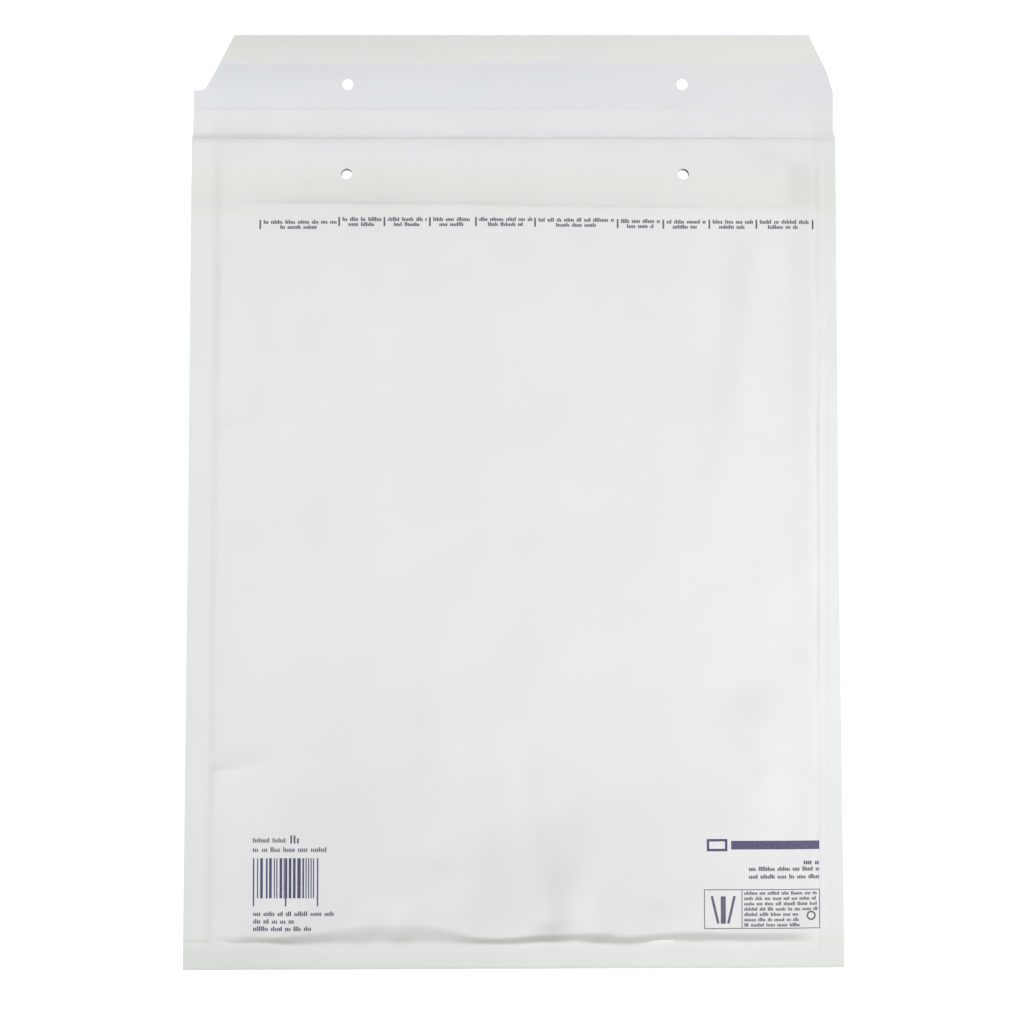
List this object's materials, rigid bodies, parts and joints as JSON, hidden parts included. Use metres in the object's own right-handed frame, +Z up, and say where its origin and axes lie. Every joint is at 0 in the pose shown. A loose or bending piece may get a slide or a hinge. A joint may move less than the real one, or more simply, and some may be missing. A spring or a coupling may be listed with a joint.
{
  "type": "padded envelope",
  "caption": "White paper mailing envelope lined with bubble film, flap open, with sealed side and bottom seams and fastener holes at the mouth.",
  "frame": {"origin": "on the table under the middle of the envelope's overall box, flap included", "axes": "+Y along the envelope towards the flap's tip, +Z up through its thickness out of the side that shows the flap's inner face, +X to the right as seen from above with the flap at the top"},
  "size_m": [0.29, 0.4151, 0.0108],
  "materials": {
    "white_paper": "smooth bleached kraft, matt",
    "bubble_film": "clear polyethylene bubbles",
    "adhesive": "dull hot-melt film",
    "release_paper": "siliconised, slight sheen"
  },
  "bodies": {
    "root": {"paper_envelope": "white_paper", "bubble_liner_back": "bubble_film", "bubble_liner_front": "bubble_film", "adhesive_strip": "adhesive", "release_strip": "release_paper"}
  },
  "joints": []
}
